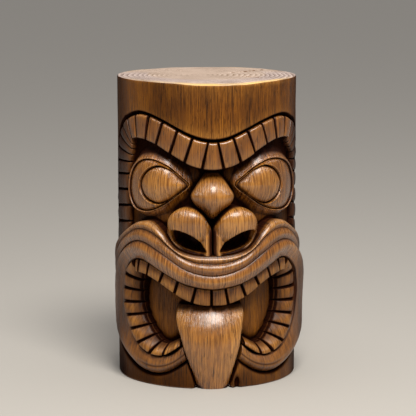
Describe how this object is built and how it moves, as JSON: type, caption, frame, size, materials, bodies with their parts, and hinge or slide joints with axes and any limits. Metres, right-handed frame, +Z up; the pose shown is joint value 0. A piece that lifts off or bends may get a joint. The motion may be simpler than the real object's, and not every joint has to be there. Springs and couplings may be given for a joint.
{
  "type": "tiki stool",
  "caption": "Log stool carved all over its front as a tiki face, with a notched brow, hooded eyes, wide nose, folded cheeks, bared teeth and a hanging tongue.",
  "frame": {"origin": "centre of the log's foot, on the floor the stool stands on", "axes": "+Z up along the log's axis; the face looks along -Y, so -X is on the left of somebody looking at it"},
  "size_m": [0.3197, 0.3153, 0.505],
  "materials": {
    "log_wood": "brown stain under semi-gloss varnish, vertical grain",
    "carved_wood": "brown stain rubbed back on the ridges, semi-gloss varnish",
    "tooth_wood": "brown stain under semi-gloss varnish",
    "eye_wood": "brown stain polished by handling, gloss varnish"
  },
  "bodies": {
    "root": {"log_body": "log_wood", "brow_block_centre": "carved_wood", "brow_block_right_1": "carved_wood", "brow_block_right_2": "carved_wood", "brow_block_right_3": "carved_wood", "brow_block_right_4": "carved_wood", "brow_block_right_5": "carved_wood", "brow_block_right_6": "carved_wood", "brow_block_left_1": "carved_wood", "brow_block_left_2": "carved_wood", "brow_block_left_3": "carved_wood", "brow_block_left_4": "carved_wood", "brow_block_left_5": "carved_wood", "brow_block_left_6": "carved_wood", "temple_band_right": "carved_wood", "temple_band_left": "carved_wood", "eyelid_right": "carved_wood", "eyelid_left": "carved_wood", "eyeball_right": "eye_wood", "eyeball_left": "eye_wood", "iris_right": "eye_wood", "iris_left": "eye_wood", "nose_bridge": "carved_wood", "nose_wing_right": "carved_wood", "nose_wing_left": "carved_wood", "lips": "carved_wood", "cheek_fold": "carved_wood", "middle_fold": "carved_wood", "upper_tooth_right_1": "tooth_wood", "upper_tooth_right_2": "tooth_wood", "upper_tooth_right_3": "tooth_wood", "upper_tooth_right_4": "tooth_wood", "upper_tooth_right_5": "tooth_wood", "upper_tooth_right_6": "tooth_wood", "upper_tooth_left_1": "tooth_wood", "upper_tooth_left_2": "tooth_wood", "upper_tooth_left_3": "tooth_wood", "upper_tooth_left_4": "tooth_wood", "upper_tooth_left_5": "tooth_wood", "upper_tooth_left_6": "tooth_wood", "lower_tooth_right_1": "tooth_wood", "lower_tooth_right_2": "tooth_wood", "lower_tooth_right_3": "tooth_wood", "lower_tooth_right_4": "tooth_wood", "lower_tooth_right_5": "tooth_wood", "lower_tooth_right_6": "tooth_wood", "lower_tooth_right_7": "tooth_wood", "lower_tooth_right_8": "tooth_wood", "lower_tooth_right_9": "tooth_wood", "lower_tooth_left_1": "tooth_wood", "lower_tooth_left_2": "tooth_wood", "lower_tooth_left_3": "tooth_wood", "lower_tooth_left_4": "tooth_wood", "lower_tooth_left_5": "tooth_wood", "lower_tooth_left_6": "tooth_wood", "lower_tooth_left_7": "tooth_wood", "lower_tooth_left_8": "tooth_wood", "lower_tooth_left_9": "tooth_wood", "tongue": "carved_wood"}
  },
  "joints": []
}
